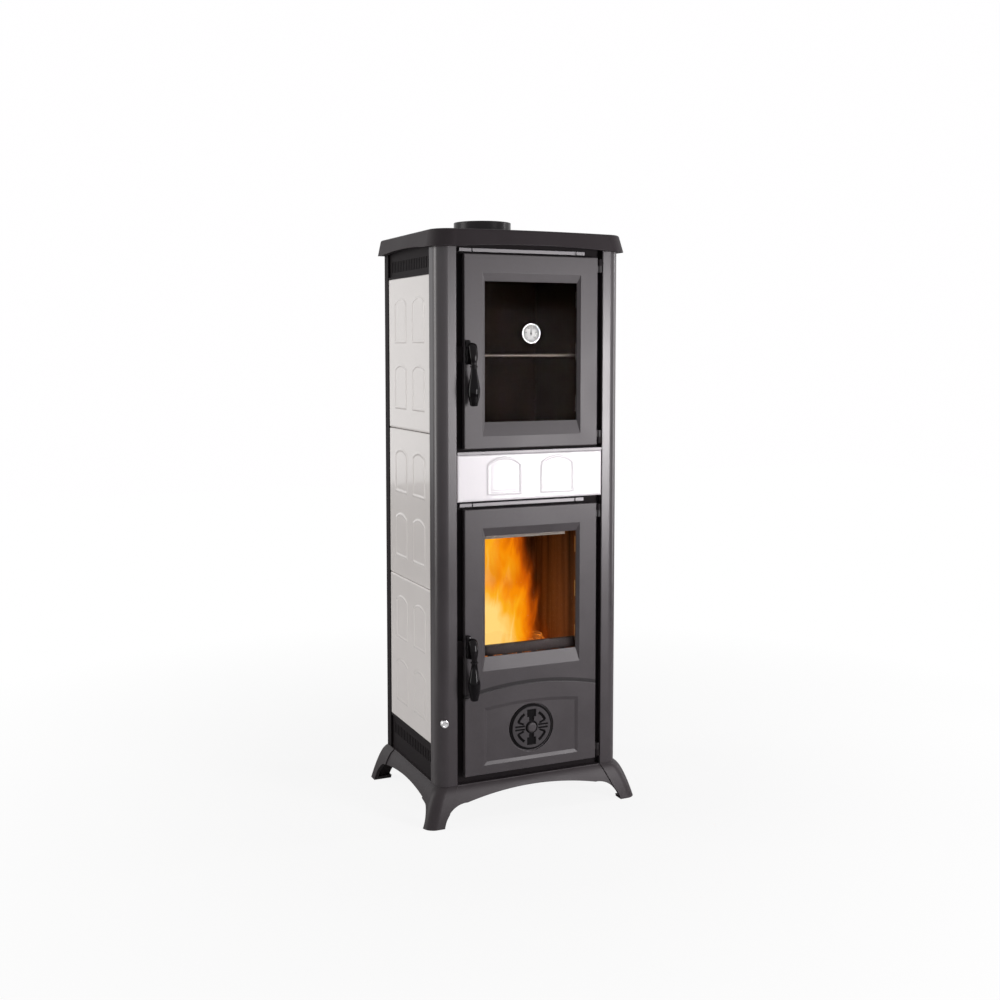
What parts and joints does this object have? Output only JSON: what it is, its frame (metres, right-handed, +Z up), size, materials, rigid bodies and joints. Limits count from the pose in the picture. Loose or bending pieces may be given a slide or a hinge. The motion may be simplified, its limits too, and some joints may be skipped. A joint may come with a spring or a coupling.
{
  "type": "wood-burning range cooker",
  "caption": "Tall wood-burning range of cast iron and glazed tiles, with a glazed firebox door below a glazed oven door and a round flue collar on top",
  "frame": {"origin": "on the floor, under the middle of the whole range's box", "axes": "+Z up; +X to the right of someone facing the doors, across the width; the doors face -Y and the rear heat shield faces +Y"},
  "size_m": [0.492, 0.3714, 1.259],
  "materials": {
    "cast_black": "matt black enamel on sand-cast iron",
    "cast_grey": "dark grey stove paint on cast iron",
    "steel_dark": "matt black stove paint on sheet steel",
    "steel_grey": "satin grey stove paint on sheet steel",
    "tile_side": "glossy off-white glaze with embossed panels",
    "tile_front": "glossy white glaze with embossed panels",
    "door_glass": "clear heat-resisting glass with a warm tint",
    "rope": "dark braided glass-fibre rope",
    "zinc": "zinc-plated steel",
    "chrome": "polished chrome",
    "grip_black": "glossy black heat-resisting resin",
    "lever_black": "gloss black enamel on cast iron",
    "brick": "pale refractory brick, warm in the firelight",
    "oven_steel": "brown-black oven enamel",
    "dial_white": "white dial in a chromed case",
    "needle_dark": "black lacquer"
  },
  "bodies": {
    "range_body": {"base_casting": "cast_black", "front_left_post": "cast_grey", "front_right_post": "cast_grey", "rear_left_post": "steel_dark", "rear_right_post": "steel_dark", "top_plate": "cast_black", "flue_collar": "cast_black", "flue_collar_screws": "zinc", "left_tile_lower": "tile_side", "left_tile_middle": "tile_side", "left_tile_upper": "tile_side", "right_tile_lower": "tile_side", "right_tile_middle": "tile_side", "right_tile_upper": "tile_side", "left_tile_frame": "steel_dark", "right_tile_frame": "steel_dark", "left_lower_vent": "steel_dark", "right_lower_vent": "steel_dark", "left_upper_vent": "steel_dark", "right_upper_vent": "steel_dark", "front_tile": "tile_front", "front_tile_clips": "zinc", "front_tile_rail": "steel_grey", "front_frame": "steel_dark", "hinge_pins": "zinc", "lower_air_strip": "steel_grey", "upper_air_strip": "steel_grey", "inner_shell": "steel_dark", "rear_panel": "steel_dark", "rear_panel_screws": "zinc", "hearth_plate": "cast_black", "firebrick_left": "brick", "firebrick_right": "brick", "firebrick_rear": "brick", "flame_baffle": "brick", "log_guard": "cast_black", "ash_drawer": "steel_dark", "oven_box": "oven_steel", "oven_shelf": "chrome"},
    "fire_door": {"fire_door_casting": "cast_grey", "fire_door_glass": "door_glass", "fire_glass_clips": "zinc", "fire_door_rope": "rope", "rosette_bolt": "cast_grey"},
    "air_control": {"air_rosette": "cast_grey"},
    "fire_handle": {"fire_handle_lever": "lever_black", "fire_handle_grip": "grip_black", "fire_latch_pawl": "zinc"},
    "oven_door": {"oven_door_casting": "cast_grey", "oven_door_glass": "door_glass", "oven_glass_clips": "zinc", "oven_door_rope": "rope", "thermometer_case": "dial_white"},
    "oven_handle": {"oven_handle_lever": "lever_black", "oven_handle_grip": "grip_black", "oven_latch_pawl": "zinc"},
    "needle": {"thermometer_needle": "needle_dark"},
    "grate_shaker": {"fire_grate": "cast_black", "shaker_rod": "zinc", "shaker_knob": "chrome"}
  },
  "joints": [
    {"name": "oven_door_hinge", "type": "hinge", "parent": "range_body", "child": "oven_door", "pos_m": [0.16, -0.14425, 0.97275], "axis": [0, 0, 1], "range_deg": [0, 110]},
    {"name": "fire_door_hinge", "type": "hinge", "parent": "range_body", "child": "fire_door", "pos_m": [0.16, -0.14425, 0.37205], "axis": [0, 0, 1], "range_deg": [0, 110]},
    {"name": "oven_handle_turn", "type": "hinge", "parent": "oven_door", "child": "oven_handle", "pos_m": [-0.141, -0.15125, 0.972], "axis": [0, -1, 0], "range_deg": [0, 75]},
    {"name": "fire_handle_turn", "type": "hinge", "parent": "fire_door", "child": "fire_handle", "pos_m": [-0.141, -0.15125, 0.368], "axis": [0, -1, 0], "range_deg": [0, 75]},
    {"name": "air_rosette_turn", "type": "hinge", "parent": "fire_door", "child": "air_control", "pos_m": [0, -0.15125, 0.1805], "axis": [0, -1, 0], "range_deg": [0, 45]},
    {"name": "thermometer_needle_turn", "type": "hinge", "parent": "oven_door", "child": "needle", "pos_m": [-0.0015, -0.14925, 1.0106], "axis": [0, 1, 0], "range_deg": [0, 270]},
    {"name": "grate_shake", "type": "slide", "parent": "range_body", "child": "grate_shaker", "axis": [0, -1, 0], "range_m": [0, 0.012]}
  ]
}
